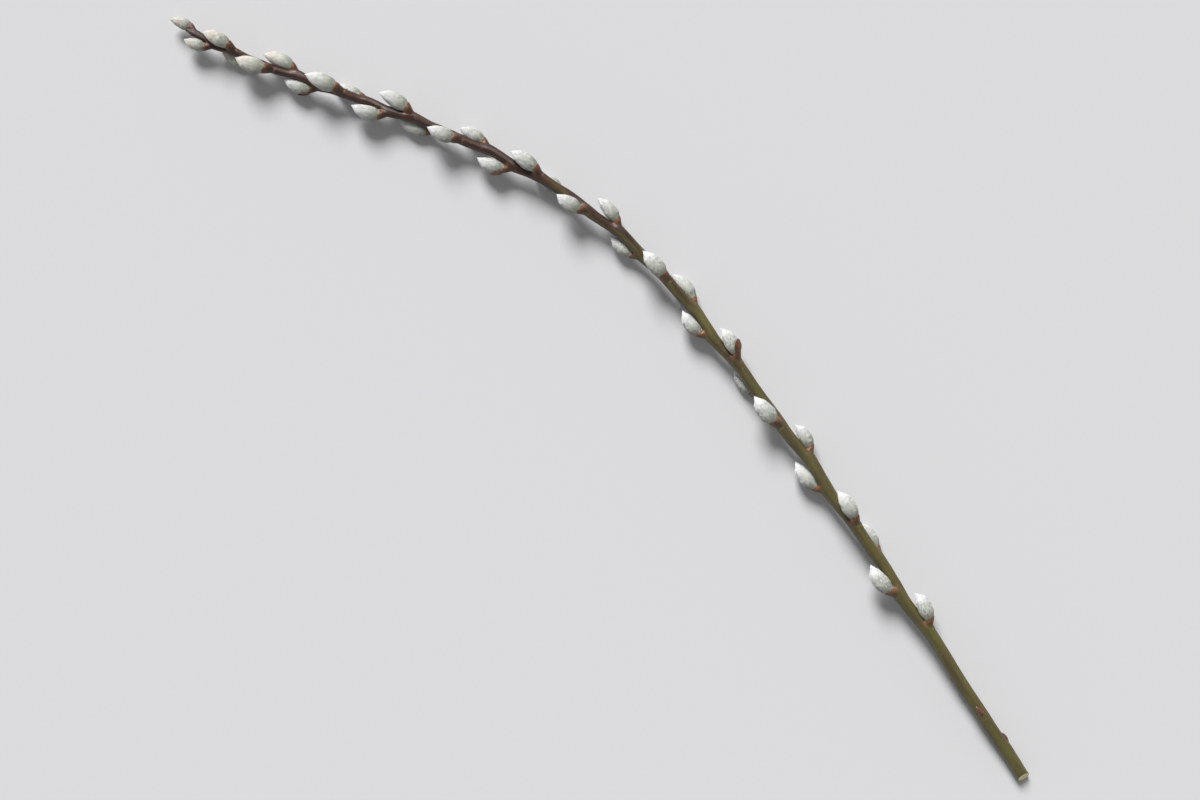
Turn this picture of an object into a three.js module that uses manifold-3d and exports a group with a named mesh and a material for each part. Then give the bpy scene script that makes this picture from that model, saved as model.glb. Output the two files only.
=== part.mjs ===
// A pussy willow branch, cut and laid on a flat surface. Millimetres, +Z up, tip towards +X.
//
// The branch is one rod of a year's growth. At each node the bark swells into a shoulder with a ledge on top,
// and a furry catkin sits on the ledge. The nodes climb the rod in a spiral, close together at the tip and
// further apart towards the cut end, where the last three hold small unopened buds. Above each node the rod
// steps aside, which gives it its slight zigzag. Each piece is a three.js geometry, made straight and then bent
// to its place along the rod.
import * as THREE from 'three';
import { mergeVertices } from 'three/addons/utils/BufferGeometryUtils.js';
import Module from 'manifold-3d';

const wasm = await Module();
wasm.setup();

const { clamp, degToRad, lerp, smoothstep } = THREE.MathUtils;

// Driving dimensions: lengths in millimetres, angles in degrees, distances along the rod from the cut end.
const ROD_LENGTH = 800;
const ROD_RADIUS_CUT = 4.6;
const ROD_RADIUS_TIP = 2;
const ROD_SIDES = 10;
const CUT_SLANT = 32; // how far the cut leans from square
const DRY_TIP = 5; // the withered end of the shoot, above the last node
const DRY_TIP_SHARE = 0.5; // its radius at the very end, as a share of the rod's
const ZIGZAG = 0.9; // how far the rod leans towards a catkin at its node, and away from it above
const ZIGZAG_RUN = 7; // from a node up to where the rod is furthest away

const SHOULDER = 2.1; // height of the swelling under a catkin
const SHOULDER_RUN = 12; // its slope, below the node
const LEDGE = 2.4; // from its crest, at the node, up to where the rod has its own radius again
const RINGS_AT_NODE = [0, -3.5, LEDGE, -8, 5]; // where the rod has a ring of vertices, most important first
const RING_SPACING = 0.8; // the least between two rings

const SPIRAL = 137.5; // the turn round the rod from one node to the next
const FIRST_ANGLE = -137.5; // where the spiral starts at the tip: 0 is the rod's left side, 90 its top
const INTERNODE_TIP = 14; // from one node to the next at the tip
const INTERNODE_GROWTH = 0.026; // how much longer that gets for each millimetre down the rod
const CATKIN_FREE = 95; // the length above the cut that bears no catkin

const CATKIN_LENGTH = 23;
const CATKIN_WIDTH = 12;
const CATKIN_SIDES = 10;
const CATKIN_ROWS = 9;
const CATKIN_BASE_SHARE = 0.48; // the foot's radius as a share of the catkin's half width
const CATKIN_LEAN_BASE = 34; // from the rod, where the catkin leaves its ledge
const CATKIN_LEAN_TIP = 4; // from the rod, at the catkin's point
const FLAT_SHARE = 0.86; // how thick the side towards the rod is, beside the side away from it

const BUD_LENGTH = 8;
const BUD_WIDTH = 3.6;
const BUD_PLACES = [78, 52, 24];

const SCALE_HOSTS = [7, 15, 24]; // the catkins that still hold their bud scale
const SCALE_THICKNESS = 0.5;
const SCALE_FROM = 0.1; // shares of the catkin's length
const SCALE_TO = 0.44;
const SCALE_SPREAD = 58; // how far it reaches round the catkin, each way

const GAP = 0.3; // left between neighbours that touch

// How the rod lies, as rows of a distance along it and its bearing to the left of +X, or its middle's height.
const BEARINGS = [[0, -17], [220, -15], [400, -11], [540, 11], [640, 20], [740, 20], [800, 12]];
const HEIGHTS = [[0, 4.48], [100, 9.2], [205, 12.2], [340, 11.3], [535, 12.5], [632, 10.9], [800, 10.9]];

const COLOURS = { bark: 0x4a2a1c, fur: 0xdfe0da, bud: 0x6b3320, scale: 0x7a3d20 };

// The same small variation, from -1 to 1, each time it is asked for the same node and trait.
function vary(node, trait) {
  const x = Math.sin(node * 12.9898 + trait * 78.233) * 43758.5453;
  return 2 * (x - Math.floor(x)) - 1;
}

// The value at s of a table of [distance, value] rows.
function along(rows, s) {
  const after = rows.findIndex(([at]) => at >= s);
  const k = clamp(after < 0 ? rows.length - 1 : after, 1, rows.length - 1);
  const [[from, low], [to, high]] = [rows[k - 1], rows[k]];
  return lerp(low, high, clamp((s - from) / (to - from), 0, 1));
}

// ---- The mean line of the rod, and directions across it ----

const meanLine = [new THREE.Vector3(0, 0, along(HEIGHTS, 0))];
for (let s = 1; s <= ROD_LENGTH; s++) {
  const bearing = degToRad(along(BEARINGS, s - 0.5));
  const { x, y } = meanLine[s - 1];
  meanLine.push(new THREE.Vector3(x + Math.cos(bearing), y + Math.sin(bearing), along(HEIGHTS, s)));
}

function meanPoint(s) {
  const k = clamp(Math.floor(s), 0, ROD_LENGTH - 1);
  return meanLine[k].clone().lerp(meanLine[k + 1], s - k);
}

function meanDirection(s) {
  const low = clamp(s - 1, 0, ROD_LENGTH - 2);
  return meanPoint(low + 2).sub(meanPoint(low)).normalize();
}

// The unit vector across a rod that runs along forward, at an angle from its left side over its top.
function across(forward, angle) {
  const left = new THREE.Vector3(-forward.y, forward.x, 0).normalize();
  const up = new THREE.Vector3().crossVectors(forward, left);
  return left.multiplyScalar(Math.cos(angle)).addScaledVector(up, Math.sin(angle));
}

// ---- Nodes, counted from the tip ----

const catkins = [];
for (let fromTip = DRY_TIP, n = 1; fromTip < ROD_LENGTH - CATKIN_FREE; n++) {
  const youth = lerp(0.78, 1, smoothstep(n, 1, 6)); // the topmost catkins are smaller
  catkins.push({
    name: `catkin_${String(n).padStart(2, '0')}`,
    n,
    s: ROD_LENGTH - fromTip,
    angle: degToRad(FIRST_ANGLE + SPIRAL * (n - 1) + 12 * vary(n, 2)),
    size: youth * (1 + 0.08 * vary(n, 3)),
    swelling: lerp(0.8, 1, smoothstep(n, 1, 4)),
  });
  fromTip += (INTERNODE_TIP + INTERNODE_GROWTH * fromTip) * (1 + 0.12 * vary(n, 1));
}
const buds = BUD_PLACES.map((s, i) => {
  const n = catkins.length + 1 + i;
  const angle = degToRad(FIRST_ANGLE + SPIRAL * (n - 1));
  return { name: `bud_${i + 1}`, n, s, angle, size: 1 + 0.1 * vary(n, 3), swelling: 0.45 };
});
const nodes = [...catkins, ...buds];

// ---- The rod ----

// The knots of its true line: each node leans towards its catkin, and the rod steps away above it.
const knots = [{ s: 0, point: meanPoint(0) }];
for (const node of [...nodes].reverse()) {
  const out = across(meanDirection(node.s), node.angle);
  const step = ZIGZAG * node.swelling;
  const above = Math.min(node.s + ZIGZAG_RUN, ROD_LENGTH);
  knots.push({ s: node.s, point: meanPoint(node.s).addScaledVector(out, step) });
  knots.push({ s: above, point: meanPoint(above).addScaledVector(out, -step) });
}
const rodLine = new THREE.CatmullRomCurve3(knots.map(({ point }) => point));

// The rod's middle and direction at a distance along it.
function rodAt(s) {
  const after = knots.findIndex((knot) => knot.s > s);
  const k = (after < 0 ? knots.length - 1 : after) - 1;
  const t = (k + (s - knots[k].s) / (knots[k + 1].s - knots[k].s)) / (knots.length - 1);
  return { s, middle: rodLine.getPoint(t), forward: rodLine.getTangent(t) };
}

// The rod's radius at a distance along it, on the side that faces an angle.
function rodRadius(s, angle) {
  const fromTip = clamp(1 - s / ROD_LENGTH, 0, 1);
  let radius = lerp(ROD_RADIUS_TIP, ROD_RADIUS_CUT, Math.sqrt(fromTip));
  radius *= lerp(1, DRY_TIP_SHARE, smoothstep(s, ROD_LENGTH - DRY_TIP + 1, ROD_LENGTH));
  for (const node of nodes) {
    const past = s - node.s;
    if (past < -SHOULDER_RUN || past > LEDGE) continue;
    const facing = Math.max(0, Math.cos(angle - node.angle)) ** 1.5;
    const rise = past < 0 ? smoothstep(past, -SHOULDER_RUN, 0) : 1 - smoothstep(past, 0, LEDGE);
    radius += SHOULDER * node.swelling * facing * rise;
  }
  return radius;
}

// Its rings of vertices, from the cut end: close together round each node, otherwise only where it bends.
const ringPlaces = [0, ROD_LENGTH];
for (const offset of RINGS_AT_NODE) {
  for (const node of nodes) {
    const s = node.s + offset;
    const room = ringPlaces.every((place) => Math.abs(place - s) > RING_SPACING);
    if (s > 0 && s < ROD_LENGTH && room) ringPlaces.push(s);
  }
}
const rings = ringPlaces.sort((a, b) => a - b).map(rodAt);

// Moves every vertex of a geometry to where place says.
function reshape(geometry, place) {
  const points = geometry.getAttribute('position');
  const vertex = new THREE.Vector3();
  for (let i = 0; i < points.count; i++) {
    vertex.fromBufferAttribute(points, i);
    const { x, y, z } = place(vertex);
    points.setXYZ(i, x, y, z);
  }
  geometry.computeVertexNormals();
  return geometry;
}

// The rod, with a margin all round it.
function makeRod(margin) {
  const last = rings.length - 1;
  const slant = Math.tan(degToRad(CUT_SLANT));
  return reshape(new THREE.CylinderGeometry(1, 1, 1, ROD_SIDES, last), ({ x, y, z }) => {
    const ring = rings[Math.round((y + 0.5) * last)];
    const angle = Math.atan2(x, z);
    const reach = Math.hypot(x, z) * (rodRadius(ring.s, angle) + margin);
    const point = ring.middle.clone().addScaledVector(across(ring.forward, angle), reach);
    const sliced = 1 - smoothstep(ring.s, 0, 2 * ROD_RADIUS_CUT);
    return point.addScaledVector(ring.forward, slant * reach * Math.sin(angle) * sliced);
  });
}

// ---- What sits on the rod ----

// A closed solid of a geometry, for cutting.
function solidOf(geometry) {
  const bare = geometry.clone();
  bare.deleteAttribute('normal');
  bare.deleteAttribute('uv');
  const merged = mergeVertices(bare);
  return new wasm.Manifold(new wasm.Mesh({
    numProp: 3,
    vertProperties: merged.getAttribute('position').array,
    triVerts: new Uint32Array(merged.index.array),
  }));
}

// The part of a geometry made in a seat's frame that is clear of the rod.
const spaceOfRod = makeRod(GAP);

function cutClear(geometry, seat) {
  const rodThere = spaceOfRod.clone().applyMatrix4(seat.clone().invert());
  const { vertProperties, triVerts } = solidOf(geometry).subtract(solidOf(rodThere)).getMesh();
  const cut = new THREE.BufferGeometry();
  cut.setAttribute('position', new THREE.BufferAttribute(vertProperties, 3));
  cut.setIndex(new THREE.BufferAttribute(triVerts, 1));
  cut.computeVertexNormals();
  return cut;
}

// The frame of a node's ledge: x out of the rod, y along it, with its origin half way up the ledge.
function seatOf(node) {
  const { s, middle, forward } = rodAt(node.s + LEDGE / 2);
  const out = across(forward, node.angle);
  const frame = new THREE.Matrix4().makeBasis(out, forward, new THREE.Vector3().crossVectors(out, forward));
  return frame.setPosition(middle.clone().addScaledVector(out, rodRadius(s, node.angle) - GAP));
}

// Maps a share of a bent piece's length, and a place across it, to its seat's frame. The piece leaves the rod
// at one lean and ends at another.
function bender(length, leanBase, leanTip) {
  const heading = (lean) => new THREE.Vector2(Math.sin(degToRad(lean)), Math.cos(degToRad(lean)));
  const middle = heading(leanBase).multiplyScalar(length / 2);
  const end = heading(leanTip).multiplyScalar(length / 2).add(middle);
  const line = new THREE.QuadraticBezierCurve(new THREE.Vector2(), middle, end);
  return (share, outward, sideways) => {
    const at = line.getPoint(share);
    const { x: sine, y: cosine } = line.getTangent(share);
    return new THREE.Vector3(at.x + cosine * outward, at.y - sine * outward, sideways);
  };
}

// A solid of revolution bent along its line, thinner on the side towards the rod.
function makeBent(bend, outline, rows, sides, flatten) {
  const profile = [new THREE.Vector2(0, 0)];
  for (let i = 0; i < rows; i++) profile.push(new THREE.Vector2(outline(i / rows), i / rows));
  profile.push(new THREE.Vector2(0, 1));
  const straight = new THREE.LatheGeometry(profile, sides);
  return reshape(straight, ({ x, y, z }) => bend(y, x < 0 ? x * flatten : x, z));
}

// The radius of a catkin at a share of its length: a round foot, a full belly below its middle, then a point.
function catkinRadius(node, share) {
  const foot = CATKIN_BASE_SHARE * Math.sqrt(Math.max(0, 1 - (share / 0.25) ** 2));
  const body = Math.sin(Math.PI * share ** 0.7) ** 0.8;
  return (CATKIN_WIDTH / 2) * node.size * Math.max(foot, body);
}

function catkinBend(node) {
  const length = CATKIN_LENGTH * node.size * (1 + 0.05 * vary(node.n, 5));
  if (node.n === 1) return bender(length, 24, -6); // the topmost catkin carries on in line with the rod
  return bender(length, CATKIN_LEAN_BASE + 4 * vary(node.n, 6), CATKIN_LEAN_TIP + 7 * vary(node.n, 7));
}

function makeCatkin(node) {
  const outline = (share) => catkinRadius(node, share);
  return makeBent(catkinBend(node), outline, CATKIN_ROWS, CATKIN_SIDES, FLAT_SHARE);
}

// A dormant bud lies close to the rod under a single smooth cap.
function makeBud(node) {
  const fullness = (share) => Math.sin(Math.PI * (0.12 + 0.88 * share) ** 0.8) ** 0.8;
  const outline = (share) => (BUD_WIDTH / 2) * node.size * fullness(share);
  return makeBent(bender(BUD_LENGTH * node.size, 24, -6), outline, 6, 8, 0.5);
}

// The cap that a catkin has split and pushed off: a thin pointed shell that still clings to its outer side.
function makeScale(node) {
  const bend = catkinBend(node);
  return reshape(new THREE.BoxGeometry(1, 1, 1, 6, 1, 5), ({ x, y, z }) => {
    const share = lerp(SCALE_FROM, SCALE_TO, z + 0.5);
    const narrowing = Math.sqrt(1.02 - (z + 0.5) ** 2);
    const turn = degToRad(2 * SCALE_SPREAD * narrowing) * x;
    const radius = catkinRadius(node, share) + GAP + SCALE_THICKNESS * (y + 0.5);
    return bend(share, radius * Math.cos(turn), radius * Math.sin(turn));
  });
}

// Presses a geometry made in a seat's frame against the surface that the branch lies on.
function press(geometry, seat) {
  const back = seat.clone().invert();
  return reshape(geometry, (vertex) => {
    const point = vertex.clone().applyMatrix4(seat);
    point.z = Math.max(point.z, 0);
    return point.applyMatrix4(back);
  });
}

function meshOf(name, geometry, colour, roughness) {
  const material = new THREE.MeshStandardMaterial({ color: colour, roughness, metalness: 0 });
  const mesh = new THREE.Mesh(geometry, material);
  mesh.name = name;
  return mesh;
}

function seated(node, name, geometry, colour, roughness) {
  const seat = seatOf(node);
  const mesh = meshOf(name, cutClear(press(geometry, seat), seat), colour, roughness);
  mesh.applyMatrix4(seat);
  return mesh;
}

// ---- The branch ----

const branch = new THREE.Group();
branch.add(meshOf('rod', makeRod(0), COLOURS.bark, 0.5));
for (const node of catkins) branch.add(seated(node, node.name, makeCatkin(node), COLOURS.fur, 0.8));
for (const node of buds) branch.add(seated(node, node.name, makeBud(node), COLOURS.bud, 0.45));
SCALE_HOSTS.forEach((host, i) => {
  const node = catkins[host - 1];
  branch.add(seated(node, `bud_scale_${i + 1}`, makeScale(node), COLOURS.scale, 0.5));
});

// The origin is on the surface, under the middle of the branch.
const centre = new THREE.Box3().setFromObject(branch, true).getCenter(new THREE.Vector3());
branch.position.set(-centre.x, -centre.y, 0);

export default branch;
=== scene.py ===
# A cut branch of pussy willow, laid on a table: one season's rod of bark and wood, silver catkins seated on the
# swollen nodes up its length, three unopened buds near the cut, and a few of the brown caps that the catkins have
# pushed off.
import math

import bpy
import numpy as np
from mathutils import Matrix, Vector, noise
from mathutils.bvhtree import BVHTree

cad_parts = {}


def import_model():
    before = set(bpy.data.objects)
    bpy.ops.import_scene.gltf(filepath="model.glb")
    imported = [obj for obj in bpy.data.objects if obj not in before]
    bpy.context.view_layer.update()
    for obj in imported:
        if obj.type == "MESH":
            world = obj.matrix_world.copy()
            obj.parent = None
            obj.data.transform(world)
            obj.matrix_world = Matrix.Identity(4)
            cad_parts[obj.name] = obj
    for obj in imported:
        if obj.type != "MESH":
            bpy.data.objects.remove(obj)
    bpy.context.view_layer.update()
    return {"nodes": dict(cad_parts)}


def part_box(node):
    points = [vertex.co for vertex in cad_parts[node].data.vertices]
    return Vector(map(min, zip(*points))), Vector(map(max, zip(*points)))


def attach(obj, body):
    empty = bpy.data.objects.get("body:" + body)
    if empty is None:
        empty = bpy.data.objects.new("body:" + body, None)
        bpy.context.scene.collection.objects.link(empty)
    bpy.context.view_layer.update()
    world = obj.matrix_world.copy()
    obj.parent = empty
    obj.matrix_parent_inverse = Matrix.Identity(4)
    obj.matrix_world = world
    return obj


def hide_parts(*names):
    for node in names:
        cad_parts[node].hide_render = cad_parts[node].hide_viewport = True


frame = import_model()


# ---- The table, the light and the camera ----
# The branch lies on a plain pale table, lit by a soft window beyond its tip and by the pale walls round it. The
# camera looks straight down, turned so that the branch climbs from the lower right to its tip at the upper left.

def paint(code):
    """A colour written as six hex digits, as the linear values that a shader takes."""
    parts = [int(code[i:i + 2], 16) / 255 for i in (0, 2, 4)]
    return [p / 12.92 if p <= 0.04045 else ((p + 0.055) / 1.055) ** 2.4 for p in parts] + [1.0]


TURN = math.radians(-140)
FRAME_WIDTH, FRAME_HEIGHT = 1200, 800
LENS = 70.0
MARGIN = 1.05           # how much wider the view is than the branch

image_right = np.array([math.cos(TURN), math.sin(TURN), 0.0])
image_up = np.array([-math.sin(TURN), math.cos(TURN), 0.0])


def corners_of(node):
    """The vertices of a CAD node, as an array."""
    found = np.empty(len(node.data.vertices) * 3)
    node.data.vertices.foreach_get("co", found)
    return found.reshape(-1, 3)


every_corner = np.concatenate([corners_of(node) for node in frame["nodes"].values()])
rights, ups = every_corner @ image_right, every_corner @ image_up
wide, tall = rights.max() - rights.min(), ups.max() - ups.min()
aim = image_right * (rights.min() + rights.max()) / 2 + image_up * (ups.min() + ups.max()) / 2

camera_data = bpy.data.cameras.new("camera")
camera_data.lens = LENS
camera_data.clip_end = 50.0
camera = bpy.data.objects.new("camera", camera_data)
bpy.context.scene.collection.objects.link(camera)
distance = MARGIN * max(wide, tall * FRAME_WIDTH / FRAME_HEIGHT) * LENS / camera_data.sensor_width
camera.location = Vector(aim) + Vector((0, 0, distance))
camera.rotation_euler = (0, 0, TURN)
bpy.context.scene.camera = camera

TABLE_HALF, TABLE_DROP = 14.0, 0.0001
table_corners = [(x * TABLE_HALF, y * TABLE_HALF, -TABLE_DROP) for x, y in ((-1, -1), (1, -1), (1, 1), (-1, 1))]
table_mesh = bpy.data.meshes.new("table")
table_mesh.from_pydata(table_corners, [], [(0, 1, 2, 3)])
table = bpy.data.objects.new("table", table_mesh)
bpy.context.scene.collection.objects.link(table)
table_paint = bpy.data.materials.new("table")
table_paint.use_nodes = True
for socket, value in (("Base Color", paint("C6C6C7")), ("Roughness", 1.0), ("Specular IOR Level", 0.0)):
    table_paint.node_tree.nodes["Principled BSDF"].inputs[socket].default_value = value
table_mesh.materials.append(table_paint)

WINDOW_WIDTH = math.radians(26)
window = bpy.data.lights.new("window", "SUN")
window.energy = 4.7
window.angle = WINDOW_WIDTH
window_light = bpy.data.objects.new("window", window)
bpy.context.scene.collection.objects.link(window_light)
from_where = Vector(image_up * 1.0 - image_right * 0.25) + Vector((0, 0, 0.85))
window_light.location = Vector(aim) + from_where
window_light.rotation_euler = from_where.to_track_quat("Z", "Y").to_euler()

ZENITH, HORIZON = 0.25, 0.73      # how bright the room is overhead and round the table
LOW, HIGH = 0.06, 0.62            # between which heights the one fades into the other
room = bpy.data.worlds.new("room")
bpy.context.scene.world = room
room.use_nodes = True
walls = room.node_tree.nodes
looking = walls.new("ShaderNodeTexCoord")
split = walls.new("ShaderNodeSeparateXYZ")
shade_by_height = walls.new("ShaderNodeMapRange")
shade_by_height.interpolation_type = "SMOOTHSTEP"
for socket, number in zip(("From Min", "From Max", "To Min", "To Max"), (LOW, HIGH, HORIZON, ZENITH)):
    shade_by_height.inputs[socket].default_value = number
room.node_tree.links.new(looking.outputs["Generated"], split.inputs[0])
room.node_tree.links.new(split.outputs["Z"], shade_by_height.inputs["Value"])
room.node_tree.links.new(shade_by_height.outputs["Result"], walls["Background"].inputs["Strength"])
walls["Background"].inputs["Color"].default_value = (0.98, 0.985, 1.0, 1.0)
bpy.context.scene.view_settings.view_transform = "Standard"


# ---- The rod ----
# One season's willow shoot: pale wood with a thin pith under smooth bark, brown at the tip and olive lower down.
# It swells into a shoulder under every catkin, and was cut at a slant with secateurs.

STATION = 0.0005        # the bark's rings are this far apart
SIDES = 56
SLICED = 0.009          # above this, the slanted cut no longer shortens the bark
TIP_GAP = 0.0006        # the rings stop this far short of the solid's tip
ROD_RADIUS = 0.002      # taken where a line slips out between two facets
SOFTEN_ALONG = 2.0      # how far the bark flows over the solid beneath it, in stations and in radians
SOFTEN_ROUND = 0.3
STRAIGHTEN = 0.006      # how far the sapwood evens out the solid's zigzag, along the rod

turns = np.arange(SIDES) * 2 * math.pi / SIDES


def tree_of(node):
    """For finding where a line from inside a CAD solid meets its surface."""
    return BVHTree.FromPolygons([v.co for v in node.data.vertices], [p.vertices for p in node.data.polygons])


def reach(tree, start, direction, least):
    """How far it is from start to the surface of a CAD solid."""
    hit = tree.ray_cast(Vector(start), Vector(direction))
    return least if hit[3] is None else hit[3]


def unit(v):
    return v / np.maximum(np.linalg.norm(v, axis=-1, keepdims=True), 1e-12)


def soften(values, spread, wrap=False):
    """Gaussian smoothing along the first axis, which may close on itself."""
    reachable = max(1, int(math.ceil(3 * spread)))
    offsets = np.arange(-reachable, reachable + 1)
    weights = np.exp(-0.5 * (offsets / spread) ** 2)
    ends = {"mode": "wrap"} if wrap else {"mode": "reflect", "reflect_type": "odd"}
    padded = np.pad(values, [(reachable, reachable)] + [(0, 0)] * (values.ndim - 1), **ends)
    return sum(w * padded[k:k + len(values)] for k, w in enumerate(weights / weights.sum()))


def across(forward):
    """The two directions across a rod that runs along forward: its left side, and its top."""
    left = unit(np.stack([-forward[..., 1], forward[..., 0], np.zeros(forward.shape[:-1])], axis=-1))
    return left, np.cross(forward, left)


rod = frame["nodes"]["rod"]
rod_tree = tree_of(rod)
rod_low, rod_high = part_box("rod")
rod_corners = corners_of(rod)
near_cut = rod_corners[rod_corners[:, 0] < rod_low.x + 0.02]
here = np.array([rod_low.x + SLICED, near_cut[:, 1].mean(), near_cut[:, 2].mean()])
rod_line = []
for x in np.arange(rod_low.x + SLICED, rod_high.x - TIP_GAP, 2 * STATION):
    here = np.array([x, here[1], here[2]])
    for _ in range(3):
        rays = [np.array([0.0, math.cos(t), math.sin(t)]) for t in turns[::2]]
        here = np.mean([here + ray * reach(rod_tree, here, ray, ROD_RADIUS) for ray in rays], axis=0)
    rod_line.append(here)
rod_line = soften(np.array(rod_line), 2.0)
steps = np.linalg.norm(np.diff(rod_line, axis=0), axis=1)
marks = np.concatenate([[0], np.cumsum(steps)])
places = np.arange(0, marks[-1], STATION)
centres = np.stack([np.interp(places, marks, rod_line[:, k]) for k in range(3)], axis=1)
forwards = unit(np.gradient(soften(centres, 6.0), axis=0))
lefts, tops = across(forwards)
spokes = lefts[:, None] * np.cos(turns)[None, :, None] + tops[:, None] * np.sin(turns)[None, :, None]
radii = np.array([[reach(rod_tree, centre, spoke, ROD_RADIUS) for spoke in ring]
                  for centre, ring in zip(centres, spokes)])
radii = soften(radii, SOFTEN_ALONG)
radii = soften(radii.T, SOFTEN_ROUND * SIDES / (2 * math.pi), wrap=True).T


FOOT_DEPTH = 0.0015     # how much of a catkin's lower end counts as its foot


def seat_of(name):
    """Where a catkin or a bud sits: the station on the rod that its foot is beside, and the foot itself."""
    corners = corners_of(frame["nodes"][name])
    beyond = centres[-1] + forwards[-1] * np.arange(1, 60)[:, None] * STATION      # past the tip
    line = np.concatenate([centres, beyond])
    rough = np.array([int(np.argmin(((line - corner) ** 2).sum(1))) for corner in corners])
    foot = corners[rough <= rough.min() + FOOT_DEPTH / STATION].mean(0)
    return min(rough.min() + 2, len(centres) - 1), foot


centres = soften(centres, STRAIGHTEN / STATION)
catkin_names = sorted(name for name in frame["nodes"] if name.startswith("catkin_"))
bud_names = sorted(name for name in frame["nodes"] if name.startswith("bud_") and "scale" not in name)
seats = {name: seat_of(name) for name in catkin_names + bud_names}


CLOSE = 0.0001          # the least reach of a catkin's or a bud's skin


def skin_of(name, rows, sides, soft):
    """A smooth skin that follows the CAD solid of a catkin or a bud: the line up its middle, the way out from that
    line at each corner, and how far out the surface is. Its rows crowd towards both ends."""
    node = frame["nodes"][name]
    tree = tree_of(node)
    corners = corners_of(node)
    foot = seats[name][1]
    tip = corners[np.argmax(((corners - foot) ** 2).sum(1))]
    ahead = unit(tip - foot)
    side = unit(np.cross(ahead, np.array([0.0, 0.0, 1.0])))
    over = np.cross(side, ahead)
    angles = np.arange(sides) * 2 * math.pi / sides
    fan = side[None] * np.cos(angles)[:, None] + over[None] * np.sin(angles)[:, None]
    shares = 0.5 - 0.5 * np.cos(np.linspace(0.16, math.pi * 0.985, rows))
    line = foot[None] + (tip - foot)[None] * shares[:, None]
    for _ in range(2):
        line = np.array([np.mean([p + ray * reach(tree, p, ray, CLOSE) for ray in fan], axis=0) for p in line])
        line = soften(line, 1.2)
    reaches = np.array([[reach(tree, p, ray, CLOSE) for ray in fan] for p in line])
    reaches = soften(reaches, soft)
    reaches = soften(reaches.T, 0.32 * sides / (2 * math.pi), wrap=True).T
    return {"line": line, "fan": fan, "reaches": reaches, "shares": shares, "tip": tip, "ahead": ahead,
            "angles": angles}


ROWS, ROUND = 44, 40
BUD_ROWS, BUD_ROUND = 22, 24
shapes = {name: skin_of(name, ROWS, ROUND, 1.5) for name in catkin_names}
shapes.update({name: skin_of(name, BUD_ROWS, BUD_ROUND, 1.0) for name in bud_names})


def wrap(rows, sides):
    """Quads round each pair of neighbouring rings, facing out."""
    quads = []
    for i in range(rows - 1):
        for j in range(sides):
            k = (j + 1) % sides
            quads.append((i * sides + j, i * sides + k, (i + 1) * sides + k, (i + 1) * sides + j))
    return quads


# Each catkin is carried by a cushion, a swelling of the rod that flares out to a shallow cup round the foot.
CUP = 0.0011            # how much of the foot the cup holds
LIP = 0.00022           # how much wider the cup is than the catkin in it
FLARE = 0.0072          # how far below the foot the cushion leaves the rod
BUD_FLARE = 0.0042      # the same for the small pad under a dormant bud
HOLD = 0.8              # how much of the rod's own radius the cushion has where it ends inside it
TUBE_RINGS, TUBE_SIDES = 14, 28


def cushion_of(name, flare):
    """The cup's middle, axis and radius, and the cushion as a closed tube that ends deep inside the rod."""
    shape, station = shapes[name], seats[name][0]
    height = np.linalg.norm(shape["line"] - shape["line"][0], axis=1)
    row = int(np.argmax(height > CUP))
    rise = unit(shape["line"][row + 4] - shape["line"][0])
    cup, radius = shape["line"][row], shape["reaches"][row].mean() + LIP
    tube = []
    for share in np.linspace(0, 1, TUBE_RINGS):
        inward = share * share * (3 - 2 * share)        # from the cup's line over to the rod's
        heart = centres[max(0, int(station - flare * share / STATION))]
        middle = (cup - rise * flare * share * 0.8) * (1 - inward) + heart * inward
        facing = unit(rise * (1 - share) + forwards[station] * share)
        side = unit(np.cross(facing, np.array([0.3, 0.2, 1.0])))
        over = np.cross(side, facing)
        wide = radius * (1 + 0.07 * math.sin(math.pi * min(1, share * 4))) * (1 - inward)
        wide += radii[station].min() * HOLD * inward
        around = np.arange(TUBE_SIDES) * 2 * math.pi / TUBE_SIDES
        tube.append(middle + wide * (side * np.cos(around)[:, None] + over * np.sin(around)[:, None]))
    corners = np.array(tube).reshape(-1, 3)
    faces = wrap(TUBE_RINGS, TUBE_SIDES)
    faces += [tuple(range(TUBE_SIDES)), tuple(range(len(corners) - TUBE_SIDES, len(corners)))]
    return cup, rise, radius, BVHTree.FromPolygons([Vector(c) for c in corners], faces)


FAR = 0.014             # clear of any cushion, as the place to look back in from
BELOW, ABOVE = 24, 14   # how many stations a cushion can reach
cups = {name: cushion_of(name, FLARE) for name in catkin_names}
pads = {name: cushion_of(name, BUD_FLARE) for name in bud_names}
for name, (cup, rise, wide, tube_tree) in {**cups, **pads}.items():
    station = seats[name][0]
    for i in range(max(0, station - BELOW), min(len(centres), station + ABOVE)):
        for j in range(SIDES):
            start = centres[i] + spokes[i, j] * FAR
            hit = tube_tree.ray_cast(Vector(start), Vector(-spokes[i, j]), FAR)
            if hit[3] is not None:
                radii[i, j] = max(radii[i, j], FAR - hit[3])
radii = soften(radii, 0.8)
radii = soften(radii.T, 0.07 * SIDES / (2 * math.pi), wrap=True).T

# The very tip never ripened: it has dried to a dark, shrunken stub.
DRY = 0.0042
dry = np.clip((places - places[-1] + DRY) / DRY, 0, 1)[:, None] * np.ones(SIDES)
creases = 0.10 * np.cos(5 * turns + 0.6) + 0.06 * np.cos(9 * turns + 2.0)
beside_first = np.linalg.norm(centres[:, None] + spokes * radii[..., None] - cups[catkin_names[0]][0], axis=2)
dry *= np.clip((beside_first - cups[catkin_names[0]][2]) / 0.0012, 0, 1)
radii *= 1 - dry ** 0.8 * (0.42 + creases)

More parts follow.
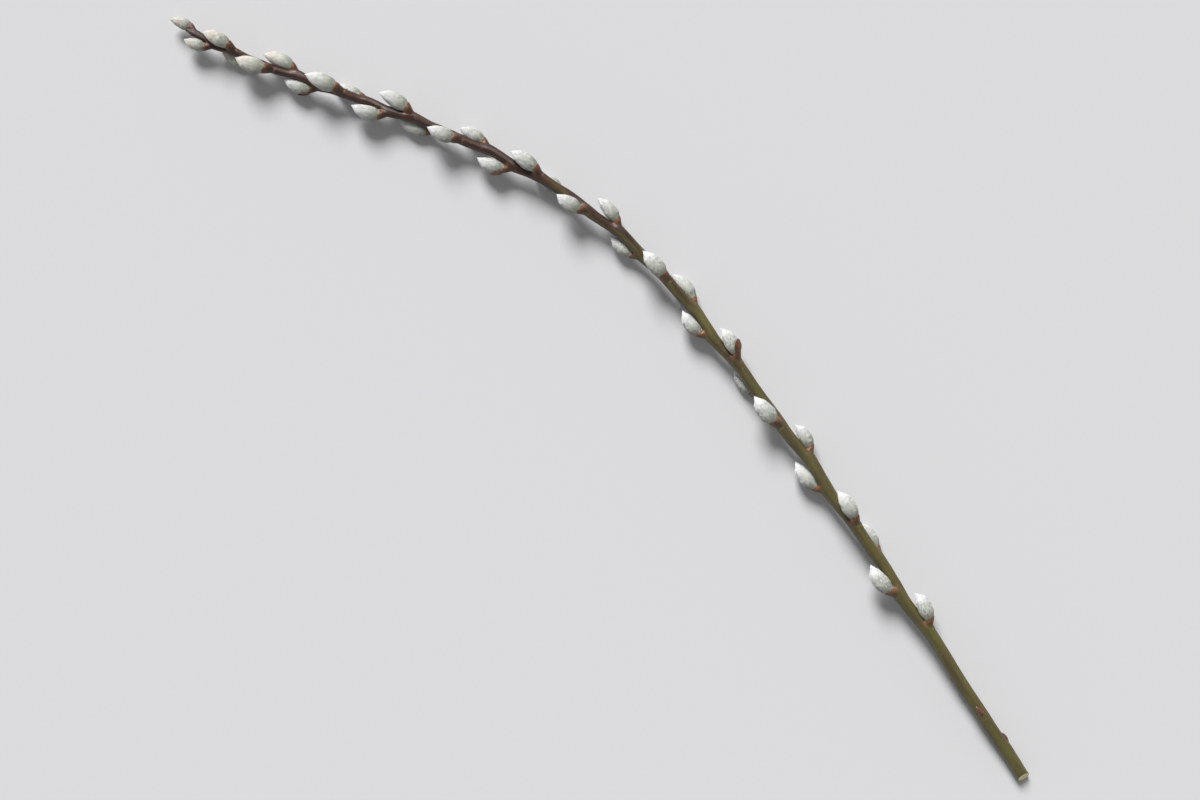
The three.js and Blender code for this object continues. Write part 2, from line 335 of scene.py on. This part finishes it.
# The bark has a warm stain up each cushion to its cup, and below that the scar of the leaf that grew there. Both are
# worked out in millimetres from the foot.
WRINKLE, SCAR = 0.00007, 0.00016
SCAR_BELOW, SCAR_DROOP = 5.2, 2.4
stain, scar = np.zeros_like(radii), np.zeros_like(radii)
for name in catkin_names + bud_names:
    station, foot = seats[name]
    rise = cups[name][1] if name in cups else forwards[station]
    strength = 1.0 if name in cups else 0.6
    first, last = max(0, station - 30), min(len(centres), station + 16)
    skin = centres[first:last, None] + spokes[first:last] * radii[first:last, :, None]
    above = ((skin - foot) @ rise) * 1000
    away = np.linalg.norm(skin - foot, axis=2) * 1000
    wide = cups[name][2] * 1000 if name in cups else 1.6
    warm = np.exp(-0.5 * (np.maximum(away - wide - 0.8, 0) / 1.6) ** 2)
    warm *= np.exp(-0.5 * (np.maximum(above - 1.2, 0) / 0.5) ** 2) * np.exp(-np.maximum(0.2 - above, 0) / 2.2)
    stain[first:last] = np.maximum(stain[first:last], strength * warm)
    out = foot - centres[station]
    turn = math.atan2(out @ tops[station], out @ lefts[station])
    round_by = (turns[None, :] - turn + math.pi) % (2 * math.pi) - math.pi
    past = (places[first:last] - places[station])[:, None] * 1000
    crescent = past + SCAR_BELOW + SCAR_DROOP * round_by ** 2
    pad = np.exp(-(crescent / 0.42) ** 4) * np.exp(-(round_by / 0.5) ** 6)
    ditch = np.exp(-((np.abs(crescent) - 0.7) / 0.25) ** 2) * np.exp(-(round_by / 0.65) ** 6)
    radii[first:last] += SCAR * strength * (pad - 0.6 * ditch)
    scar[first:last] = np.maximum(scar[first:last], pad * strength)

# Fine wrinkles run along the rod, and it is a little lumpy.
rounds = np.stack([np.cos(turns), np.sin(turns)], axis=1)
for i, place in enumerate(places):
    for j, (a, b) in enumerate(rounds):
        long_fold = noise.noise(Vector((a * 5.0, b * 5.0, place * 90)))
        lump = noise.noise(Vector((a * 1.3 + 7, b * 1.3, place * 160)))
        radii[i, j] += WRINKLE * long_fold + 0.9 * WRINKLE * lump
bark = centres[:, None] + spokes * radii[..., None]
bark[..., 2] = np.maximum(bark[..., 2], 0.0)

# The slanted cut: the bark is carried down to the cut's plane, and the face is closed in rings to the pith.
cut_faces = [p for p in rod.data.polygons
             if p.center.x < rod_low.x + 0.012 and -p.normal.x > 0.6 and p.area > 1e-7]
cut_normal = unit(sum(np.array(p.normal) * p.area for p in cut_faces))
cut_point = sum(np.array(p.center) * p.area for p in cut_faces) / sum(p.area for p in cut_faces)
back = -forwards[0]
drop = ((cut_point - bark[0]) @ cut_normal) / (back @ cut_normal)
edge = bark[0] + back * drop[:, None]
DOWN = 16
skirt = [edge + (bark[0] - edge) * share for share in np.linspace(0, 1, DOWN, endpoint=False)]
CUT_RINGS = (0.985, 0.95, 0.9, 0.82, 0.7, 0.56, 0.42, 0.3, 0.2, 0.12, 0.05)
pith = edge.mean(0)
face = []
for share in reversed(CUT_RINGS):
    ring = pith + (edge - pith) * share
    rough = [noise.noise(Vector(p) * 900) * 0.00005 + noise.noise(Vector(p) * 2600) * 0.00003 for p in ring]
    dish = -0.00012 if share < 0.15 else 0.0
    face.append(ring + cut_normal * (np.array(rough)[:, None] + dish))

# The withered end of the shoot is closed with a blunt, broken tip.
END_RINGS = ((0.93, 0.25), (0.8, 0.55), (0.55, 0.75), (0.28, 0.8))
end_middle, ahead = centres[-1], forwards[-1]
end_radius = radii[-1].mean()
end = [end_middle + (bark[-1] - end_middle) * share + ahead * end_radius * out for share, out in END_RINGS]

rings = np.array(face + skirt + list(bark) + end)
first_bark = len(face)
corner_list = rings.reshape(-1, 3).tolist() + [pith.tolist(), (end_middle + ahead * end_radius * 0.78).tolist()]
inner, outer = len(corner_list) - 2, len(corner_list) - 1
rod_faces = wrap(len(rings), SIDES)
rod_faces += [(inner, (j + 1) % SIDES, j) for j in range(SIDES)]
top_ring = (len(rings) - 1) * SIDES
rod_faces += [(top_ring + j, top_ring + (j + 1) % SIDES, outer) for j in range(SIDES)]


def make_piece(name, corners, faces, paints, smooth=True):
    """A new mesh piece with its materials."""
    mesh = bpy.data.meshes.new(name)
    mesh.from_pydata(corners, [], faces)
    for each in paints:
        mesh.materials.append(each)
    if smooth:
        mesh.shade_smooth()
    mesh.update()
    made = bpy.data.objects.new(name, mesh)
    bpy.context.scene.collection.objects.link(made)
    return made


def record(piece, name, values):
    """Stores a number, or a vector, at each vertex for the material to read."""
    values = np.asarray(values, np.float32)
    kind = "FLOAT" if values.ndim == 1 else "FLOAT_VECTOR"
    layer = piece.data.attributes.new(name, kind, "POINT")
    layer.data.foreach_set("value" if kind == "FLOAT" else "vector", values.ravel())


class Finish:
    """A material made of nodes, with short names for the few kinds of node that these finishes use."""

    def __init__(self, name, roughness, **fixed):
        self.material = bpy.data.materials.new(name)
        self.material.use_nodes = True
        self.tree = self.material.node_tree
        self.skin = self.tree.nodes["Principled BSDF"]
        self.skin.inputs["Roughness"].default_value = roughness
        for socket, value in fixed.items():
            self.skin.inputs[socket.replace("_", " ")].default_value = value

    def put(self, value, socket):
        if isinstance(value, bpy.types.NodeSocket):
            self.tree.links.new(value, socket)
        else:
            socket.default_value = value

    def stored(self, name, output):
        node = self.tree.nodes.new("ShaderNodeAttribute")
        node.attribute_name = name
        return node.outputs[output]

    def stretched(self, vector, scale):
        node = self.tree.nodes.new("ShaderNodeVectorMath")
        node.operation = "MULTIPLY"
        self.put(vector, node.inputs[0])
        node.inputs[1].default_value = scale
        return node.outputs[0]

    def grain(self, vector, scale, detail=3.0):
        node = self.tree.nodes.new("ShaderNodeTexNoise")
        node.inputs["Scale"].default_value = scale
        node.inputs["Detail"].default_value = detail
        self.put(vector, node.inputs["Vector"])
        return node.outputs["Fac"]

    def cells(self, vector, scale):
        node = self.tree.nodes.new("ShaderNodeTexVoronoi")
        node.inputs["Scale"].default_value = scale
        self.put(vector, node.inputs["Vector"])
        return node.outputs["Distance"]

    def ramp(self, value, low, high, to_low=0.0, to_high=1.0):
        node = self.tree.nodes.new("ShaderNodeMapRange")
        node.interpolation_type = "SMOOTHSTEP"
        for socket, number in zip(("From Min", "From Max", "To Min", "To Max"), (low, high, to_low, to_high)):
            node.inputs[socket].default_value = number
        self.put(value, node.inputs["Value"])
        return node.outputs["Result"]

    def maths(self, operation, a, b):
        node = self.tree.nodes.new("ShaderNodeMath")
        node.operation = operation
        self.put(a, node.inputs[0])
        self.put(b, node.inputs[1])
        return node.outputs[0]

    def blend(self, share, a, b):
        node = self.tree.nodes.new("ShaderNodeMix")
        node.data_type = "RGBA"
        self.put(share, node.inputs["Factor"])
        self.put(a, node.inputs["A"])
        self.put(b, node.inputs["B"])
        return node.outputs["Result"]

    def colour(self, value):
        self.put(value, self.skin.inputs["Base Color"])

    def gloss(self, value):
        self.put(value, self.skin.inputs["Roughness"])

    def relief(self, height, depth):
        node = self.tree.nodes.new("ShaderNodeBump")
        node.inputs["Distance"].default_value = depth
        self.put(height, node.inputs["Height"])
        self.tree.links.new(node.outputs["Normal"], self.skin.inputs["Normal"])


bark_finish = Finish("bark", 0.42)
lie = bark_finish.stored("lie", "Vector")
age = bark_finish.stored("age", "Fac")
fibres = bark_finish.grain(bark_finish.stretched(lie, (1.0, 1.0, 0.10)), 2.4, 6.0)
patches = bark_finish.grain(bark_finish.stretched(lie, (0.28, 0.28, 0.03)), 1.0, 2.0)
young = bark_finish.blend(bark_finish.ramp(patches, 0.35, 0.65), paint("26150F"), paint("3A2016"))
old = bark_finish.blend(bark_finish.ramp(patches, 0.36, 0.66), paint("474025"), paint("535027"))
older = bark_finish.maths("ADD", age, bark_finish.ramp(patches, 0.3, 0.7, -0.09, 0.09))
base = bark_finish.blend(bark_finish.ramp(older, 0.28, 0.62), young, old)
base = bark_finish.blend(bark_finish.ramp(fibres, 0.35, 0.75, 0.0, 0.18), base, paint("6A4429"))
warmth = bark_finish.stored("stain", "Fac")
dull = bark_finish.blend(bark_finish.ramp(age, 0.1, 0.6), paint("40241A"), paint("583621"))
tan = bark_finish.blend(bark_finish.ramp(age, 0.05, 0.6), paint("5C3924"), paint("6E4A2B"))
base = bark_finish.blend(bark_finish.ramp(warmth, 0.02, 0.55, 0.0, 0.7), base, dull)
base = bark_finish.blend(bark_finish.ramp(warmth, 0.55, 0.95, 0.0, 0.8), base, tan)
base = bark_finish.blend(bark_finish.maths("MULTIPLY", bark_finish.stored("scar", "Fac"), 0.25), base,
                         paint("8F7048"))
specks = bark_finish.cells(bark_finish.stretched(lie, (1.0, 1.0, 0.55)), 0.5)
specks = bark_finish.ramp(specks, 0.07, 0.14, 0.6, 0.0)
base = bark_finish.blend(specks, base, paint("9C8159"))
base = bark_finish.blend(bark_finish.ramp(bark_finish.stored("dry", "Fac"), 0.1, 0.6), base, paint("2A1B15"))
bark_finish.colour(base)
bark_finish.gloss(bark_finish.ramp(fibres, 0.3, 0.7, 0.36, 0.54))
bark_finish.relief(bark_finish.maths("ADD", fibres, specks), 0.0001)

wood_finish = Finish("cut_wood", 0.62)
ringward = wood_finish.stored("ringward", "Fac")
rays = wood_finish.grain(wood_finish.stored("rays", "Vector"), 1.0, 2.0)
spot = wood_finish.grain(wood_finish.stored("lie", "Vector"), 9.0, 3.0)
pale = wood_finish.blend(wood_finish.ramp(spot, 0.3, 0.7), paint("D9C79C"), paint("E9DDB8"))
pale = wood_finish.blend(wood_finish.ramp(rays, 0.5, 0.7, 0.0, 0.3), pale, paint("B99D63"))
pale = wood_finish.blend(wood_finish.ramp(ringward, 0.86, 0.92), pale, paint("9DA95A"))
pale = wood_finish.blend(wood_finish.ramp(ringward, 0.95, 0.985), pale, paint("4A3A22"))
pale = wood_finish.blend(wood_finish.ramp(ringward, 0.13, 0.08), pale, paint("8A6A44"))
wood_finish.colour(pale)
wood_finish.relief(spot, 0.00008)

branch = make_piece("rod_bark", corner_list, rod_faces, [bark_finish.material, wood_finish.material])
ring_places = np.concatenate([np.full(len(face), -SLICED), np.linspace(-SLICED, 0, DOWN, endpoint=False),
                              places, np.full(len(end), places[-1])])
ring_count = len(rings)
along_rod = np.repeat(ring_places, SIDES)
lie_values = np.column_stack([np.tile(rounds[:, 0] * 4, ring_count), np.tile(rounds[:, 1] * 4, ring_count),
                              along_rod * 1000])
lie_values[:first_bark * SIDES] = (rings[:first_bark].reshape(-1, 3) - pith) * 1000
record(branch, "rays", np.vstack([np.tile(rounds, (ring_count, 1)) @ np.eye(2, 3) * 14, np.zeros((2, 3))]))
record(branch, "lie", np.vstack([lie_values, [(0, 0, 0)], [(0, 0, places[-1] * 1000)]]))
record(branch, "age", np.append(1 - (along_rod + SLICED) / (places[-1] + SLICED), [1.0, 0.0]))
at_cut, at_end = np.zeros((first_bark + DOWN) * SIDES), np.zeros(len(end) * SIDES + 2)
record(branch, "stain", np.concatenate([at_cut, stain.ravel(), at_end]))
record(branch, "scar", np.concatenate([at_cut, scar.ravel(), at_end]))
record(branch, "dry", np.concatenate([at_cut, dry.ravel(), at_end + 1]))
ring_shares = np.concatenate([np.repeat(CUT_RINGS[::-1], SIDES), np.ones((ring_count - first_bark) * SIDES)])
record(branch, "ringward", np.append(ring_shares, [0.0, 1.0]))
for polygon in branch.data.polygons:
    if min(polygon.vertices) < (first_bark - 1) * SIDES or inner in polygon.vertices:
        polygon.material_index = 1
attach(branch, "root")
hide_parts("rod")


# ---- The catkins ----
# Each is a spike of tiny unopened flowers, wrapped in the long silky hairs of their scales. The hairs lie along
# it, stand out a little at its edges, and meet in a soft point. Its foot sits in the cup, behind a thin tan rim.

INSET = 0.00035         # the body is drawn in by this, so that the hairs end where the solid does
HAIRS = 5400
HAIR_LENGTH = 0.0032
HAIR_WIDTH = 0.000045   # half, at the root
FULLNESS = 0.13         # how much rounder the silk is above the middle than the solid beneath it


def close_skin(skin, foot_point, tip_point):
    """The corners and faces of a closed piece from its rings and its two ends."""
    rows, sides = skin.shape[:2]
    corners = skin.reshape(-1, 3).tolist() + [list(foot_point), list(tip_point)]
    faces = wrap(rows, sides)
    faces += [((j + 1) % sides, j, rows * sides) for j in range(sides)]
    last = (rows - 1) * sides
    faces += [(last + j, last + (j + 1) % sides, rows * sides + 1) for j in range(sides)]
    return corners, faces


catkin_finish = Finish("catkin_silver", 0.5, Sheen_Weight=0.35, Sheen_Roughness=0.4, Subsurface_Weight=0.12,
                       Subsurface_Scale=0.002, Subsurface_Radius=(1.0, 0.95, 0.8))
nap = catkin_finish.stored("nap", "Vector")
cream = catkin_finish.stored("cream", "Fac")
height = catkin_finish.stored("height", "Fac")
silk = catkin_finish.grain(catkin_finish.stretched(nap, (26.0, 26.0, 1.6)), 1.0, 4.0)
cloud = catkin_finish.grain(catkin_finish.stretched(nap, (2.2, 2.2, 3.0)), 1.0, 2.0)
# The body is painted lighter towards the tip and greyer towards the foot. This is partly the catkin's own colour,
# whiter where its hair is densest, and partly a painted highlight on its upper part and painted shade on its lower
# part.
body = catkin_finish.blend(catkin_finish.ramp(cloud, 0.3, 0.7), paint("A8AB9A"), paint("C3C6B9"))
body = catkin_finish.blend(catkin_finish.ramp(silk, 0.35, 0.7), body, paint("D9DCD6"))
body = catkin_finish.blend(catkin_finish.ramp(height, 0.35, 0.9), body, paint("EFF0ED"))
body = catkin_finish.blend(catkin_finish.ramp(height, 0.2, 0.02, 0.0, 0.55), body, paint("A9A77E"))
creamy = catkin_finish.maths("MULTIPLY", cream, catkin_finish.ramp(height, 0.2, 0.9, 0.15, 0.6))
body = catkin_finish.blend(creamy, body, paint("F3E4D4"))
catkin_finish.colour(body)
catkin_finish.relief(silk, 0.0001)

rim_finish = Finish("node_rim", 0.5)
rim_grain = rim_finish.grain(rim_finish.stored("lie", "Vector"), 1.6, 4.0)
rim_finish.colour(rim_finish.blend(rim_finish.ramp(rim_grain, 0.3, 0.7), paint("543520"), paint("85603C")))
rim_finish.relief(rim_grain, 0.0001)


def fur_finish(name, shade):
    """Plain silk, because each hair is far too thin to show a pattern."""
    made = Finish(name, 0.3, Sheen_Weight=0.3, Sheen_Roughness=0.3)
    made.colour(paint(shade))
    return made.material


# The hair shades go from grey-green at the foot through pale grey to white at the tip. This is partly the catkin's
# own colour, and partly a painted highlight on the upper coats and painted shade on the lower ones.
fur_shades = {"base": fur_finish("fur_base", "B7BAAB"), "middle": fur_finish("fur_middle", "E0E2D9"),
              "silver": fur_finish("fur_silver", "FCFCFB"), "cream": fur_finish("fur_cream", "FAF2E8")}


HAIR_SWAY, HAIR_STRAY = 0.10, 0.07      # how much hairs differ in their lean along the skin and away from it
HAIR_ROOT = 0.00012                     # how deep under the skin a hair starts


def hairs(name, skin, spread, count, length, lift, seed, shade, tip_point):
    """Hairs rooted on a catkin's skin. Up the catkin they start, are full, thin out and end at the four shares of
    spread. Each is a thin closed cone with one bend, and ends short of the catkin's tip."""
    rows, sides = skin.shape[:2]
    draw = np.random.default_rng(seed)
    widths = np.linalg.norm(skin - skin.mean(1, keepdims=True), axis=2).mean(1)
    lengths = np.append(np.linalg.norm(np.diff(skin.mean(1), axis=0), axis=1), 0)
    chance = widths * lengths * np.interp(np.arange(rows) / rows, spread, (0, 1, 1, 0))
    row = draw.choice(rows - 1, count, p=chance[:-1] / chance[:-1].sum())
    column = draw.integers(0, sides, count)
    u, v = draw.random(count)[:, None], draw.random(count)[:, None]
    following = (column + 1) % sides
    near = skin[row, column] * (1 - v) + skin[row, following] * v
    far = skin[row + 1, column] * (1 - v) + skin[row + 1, following] * v
    root = near * (1 - u) + far * u
    up = unit(far - near)
    beside = unit(skin[row, following] - skin[row, column])
    out = unit(np.cross(beside, up))
    sway = draw.normal(0, HAIR_SWAY, count)[:, None]
    angle = np.clip(draw.normal(lift, HAIR_STRAY, count), 0.03, 0.9)[:, None]
    size = length * draw.uniform(0.65, 1.15, count)[:, None]
    size = np.minimum(size, 0.93 * np.linalg.norm(tip_point - root, axis=1, keepdims=True))
    first = unit(up + beside * sway + out * np.tan(angle))
    second = unit(up + beside * sway * 0.5 + out * np.tan(angle * 0.35))
    root = root - out * HAIR_ROOT
    bend = root + first * size * 0.5
    point = bend + second * size * 0.5
    thick = HAIR_WIDTH * draw.uniform(0.75, 1.25, count)[:, None]
    corners = np.empty((count, 7, 3))
    for k in range(3):
        turn = 2 * math.pi * k / 3
        ring = beside * math.cos(turn) + out * math.sin(turn)
        corners[:, k] = root + ring * thick
        corners[:, 3 + k] = bend + ring * thick * 0.75
    corners[:, 6] = point
    corners[..., 2] = np.maximum(corners[..., 2], 0.00003)
    one_hair = [(2, 1, 0)]
    for k in range(3):
        after = (k + 1) % 3
        one_hair += [(k, after, 3 + after), (k, 3 + after, 3 + k), (3 + k, 3 + after, 6)]
    loops = (np.array(one_hair).ravel()[None] + np.arange(count)[:, None] * 7).ravel()
    mesh = bpy.data.meshes.new(name)
    mesh.vertices.add(count * 7)
    mesh.vertices.foreach_set("co", corners.ravel())
    mesh.loops.add(len(loops))
    mesh.loops.foreach_set("vertex_index", loops)
    mesh.polygons.add(len(loops) // 3)
    mesh.polygons.foreach_set("loop_start", np.arange(0, len(loops), 3))
    mesh.materials.append(shade)
    mesh.update(calc_edges=True)
    mesh.shade_smooth()
    grown = bpy.data.objects.new(name, mesh)
    bpy.context.scene.collection.objects.link(grown)
    return grown


def round_places(angles, rows):
    """Where the corners of a closed skin lie round it, with those at its two ends in the middle."""
    return np.vstack([np.tile(np.column_stack([np.cos(angles), np.sin(angles)]), (rows, 1)), np.zeros((2, 2))])


# The rim's section, in millimetres out from the cup's edge and up from it.
RIM_PROFILE = ((-0.3, -0.5), (-0.05, -0.5), (0.03, -0.2), (0.04, 0.1), (-0.01, 0.5), (-0.1, 0.55), (-0.2, 0.1))
MM = 0.001
YOUNGEST = 7            # how many catkins at the tip are still tinged with cream
LOCKS, RIPPLES = 0.00017, 0.00012
FULL_GROWN = 0.0058     # the radius of a catkin whose hairs have their whole length
rim_corners, rim_faces, rim_lie = [], [], []
for number, name in enumerate(catkin_names):
    shape = shapes[name]
    line, shares, tip, ahead, angles = (shape[key] for key in ("line", "shares", "tip", "ahead", "angles"))
    reaches = np.maximum(shape["reaches"] - INSET, 0.00012)
    reaches *= 1 + FULLNESS * np.exp(-((shares - 0.74) / 0.17) ** 2)[:, None]
    skin = line[:, None] + shape["fan"][None] * reaches[..., None]
    youth = float(np.clip(1 - number / YOUNGEST, 0, 1))
    draw = np.random.default_rng(100 + number)
    outward = unit(skin - line[:, None])
    phase = draw.random(3) * 10
    for i, share in enumerate(shares):
        for j, turn in enumerate(angles):
            a, b = math.cos(turn), math.sin(turn)
            lock = noise.noise(Vector((a * 5 + phase[0], b * 5, share * 1.6 + phase[1])))
            ripple = noise.noise(Vector((a * 1.2, b * 1.2 + phase[2], share * 9)))
            body_left = min(1.0, reaches[i, j] / 0.002)
            skin[i, j] += outward[i, j] * (LOCKS * lock + RIPPLES * ripple) * body_left
    skin[..., 2] = np.maximum(skin[..., 2], 0.00002)
    foot_point = line[0] - unit(line[1] - line[0]) * 0.0002
    corners, faces = close_skin(skin, foot_point, tip - ahead * 0.0002)
    spike = make_piece(f"{name}_body", corners, faces, [catkin_finish.material])
    heights = np.append(np.repeat(shares, ROUND), [0.0, 1.0])
    record(spike, "nap", np.column_stack([round_places(angles, ROWS) + phase[:2], heights * 2 + phase[2]]))
    record(spike, "height", heights)
    record(spike, "cream", np.full(len(heights), youth))
    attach(spike, "root")
    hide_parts(name)

    share_of_full = float(reaches.max() / FULL_GROWN)
    upper = fur_shades["cream"] if youth > 0.25 else fur_shades["silver"]
    # The lower coats take the darker shades and the upper coats the whitest: partly the catkin's own colour, partly
    # painted shade low down and a painted highlight high up.
    coats = [("fur", (-0.01, 0.0, 0.2, 0.4), int(HAIRS * 0.27), HAIR_LENGTH, 0.20, fur_shades["base"]),
             ("nap", (0.06, 0.3, 0.46, 0.72), int(HAIRS * 0.33), HAIR_LENGTH, 0.17, fur_shades["middle"]),
             ("silk", (0.3, 0.56, 0.93, 0.95), int(HAIRS * 0.42), HAIR_LENGTH, 0.15, upper),
             ("fringe", (-0.01, 0.0, 0.08, 0.1), int(HAIRS * 0.07), HAIR_LENGTH * 0.55, 0.48, fur_shades["silver"])]
    for k, (coat, spread, count, length, lift, shade) in enumerate(coats):
        grown = hairs(f"{name}_{coat}", skin, spread, count, length * share_of_full, lift,
                      1000 + 10 * number + k, shade, tip)
        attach(grown, "root")

    cup, rise, wide, _ = cups[name]
    start = len(rim_corners)
    rim_side = unit(np.cross(rise, np.array([0.0, 0.0, 1.0])))
    rim_over = np.cross(rim_side, rise)
    for turn in angles:
        a, b = math.cos(turn), math.sin(turn)
        wobble = 1 + 1.6 * noise.noise(Vector((a * 3.6, b * 3.6, number * 3.1)))
        for out, up in RIM_PROFILE:
            ragged = wobble if up > 0 else 1
            p = cup + (rim_side * a + rim_over * b) * (wide + out * MM) + rise * up * MM * ragged
            rim_corners.append((p[0], p[1], max(p[2], 0.0)))
            rim_lie.append((p[0] / MM, p[1] / MM, p[2] / MM))
    edge_count = len(RIM_PROFILE)
    for j in range(ROUND):
        k = (j + 1) % ROUND
        for e in range(edge_count):
            f = (e + 1) % edge_count
            rim_faces.append((start + j * edge_count + e, start + j * edge_count + f,
                              start + k * edge_count + f, start + k * edge_count + e))

rims = make_piece("node_rims", rim_corners, rim_faces, [rim_finish.material])
record(rims, "lie", rim_lie)
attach(rims, "root")


# ---- The dormant buds ----
# The lowest nodes never flowered. Each bud is pressed to the rod under one smooth, shiny, red-brown cap, which is a
# single scale closed right round it.

bud_finish = Finish("bud_cap", 0.3)
bud_nap = bud_finish.stored("nap", "Vector")
bud_height = bud_finish.stored("height", "Fac")
bud_grain = bud_finish.grain(bud_finish.stretched(bud_nap, (6.0, 6.0, 1.0)), 1.0, 4.0)
bud_colour = bud_finish.blend(bud_finish.ramp(bud_grain, 0.3, 0.7), paint("4A281B"), paint("734630"))
bud_colour = bud_finish.blend(bud_finish.ramp(bud_height, 0.75, 1.0, 0.0, 0.8), bud_colour, paint("2C1712"))
bud_finish.colour(bud_finish.blend(bud_finish.ramp(bud_height, 0.18, 0.0), bud_colour, paint("8C6436")))
bud_finish.relief(bud_grain, 0.00008)

for name in bud_names:
    shape = shapes[name]
    line, shares, tip, ahead, angles = (shape[key] for key in ("line", "shares", "tip", "ahead", "angles"))
    skin = line[:, None] + shape["fan"][None] * np.maximum(shape["reaches"] - 0.00005, 0.0001)[..., None]
    skin[..., 2] = np.maximum(skin[..., 2], 0.00002)
    corners, faces = close_skin(skin, line[0] - ahead * 0.0003, tip - ahead * 0.0001)
    cap = make_piece(f"{name}_cap", corners, faces, [bud_finish.material])
    heights = np.append(np.repeat(shares, BUD_ROUND), [0.0, 1.0])
    record(cap, "nap", np.column_stack([round_places(angles, BUD_ROWS), heights * 3]))
    record(cap, "height", heights)
    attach(cap, "root")
    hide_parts(name)


# ---- The cast bud scales ----
# A catkin splits the single cap of its bud on the side towards the rod and pushes it off. These have dried to a
# thin brown shell and still cling to the outside of their catkin by the base.

scale_finish = Finish("bud_scale", 0.34)
scale_place = scale_finish.stored("lie", "Vector")
scale_grain = scale_finish.grain(scale_finish.stretched(scale_place, (0.1, 1.0, 1.0)), 0.9, 3.0)
shell_colour = scale_finish.blend(scale_finish.ramp(scale_grain, 0.25, 0.8), paint("4C2B1B"), paint("774A2C"))
scale_finish.colour(shell_colour)
scale_finish.relief(scale_grain, 0.00005)
CRUMPLE = 0.00012       # how far the dried shell is out of true

for name in sorted(n for n in frame["nodes"] if n.startswith("bud_scale")):
    source = frame["nodes"][name]
    shell = bpy.data.objects.new(f"{name}_shell", source.data.copy())
    bpy.context.scene.collection.objects.link(shell)
    bpy.context.view_layer.objects.active = shell
    for other in bpy.context.selected_objects:
        other.select_set(False)
    shell.select_set(True)
    weld = shell.modifiers.new("weld", "WELD")
    weld.merge_threshold = 0.00001
    rounding = shell.modifiers.new("rounding", "SUBSURF")
    rounding.levels = rounding.render_levels = 2
    bpy.ops.object.modifier_apply(modifier="weld")
    bpy.ops.object.modifier_apply(modifier="rounding")
    places_there = corners_of(shell)
    for vertex, place in zip(shell.data.vertices, places_there):
        vertex.co = Vector(place) + vertex.normal * CRUMPLE * noise.noise(Vector(place) * 700)
    shell.data.materials.clear()
    shell.data.materials.append(scale_finish.material)
    shell.data.shade_smooth()
    record(shell, "lie", places_there * 1000)
    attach(shell, "root")
    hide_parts(name)
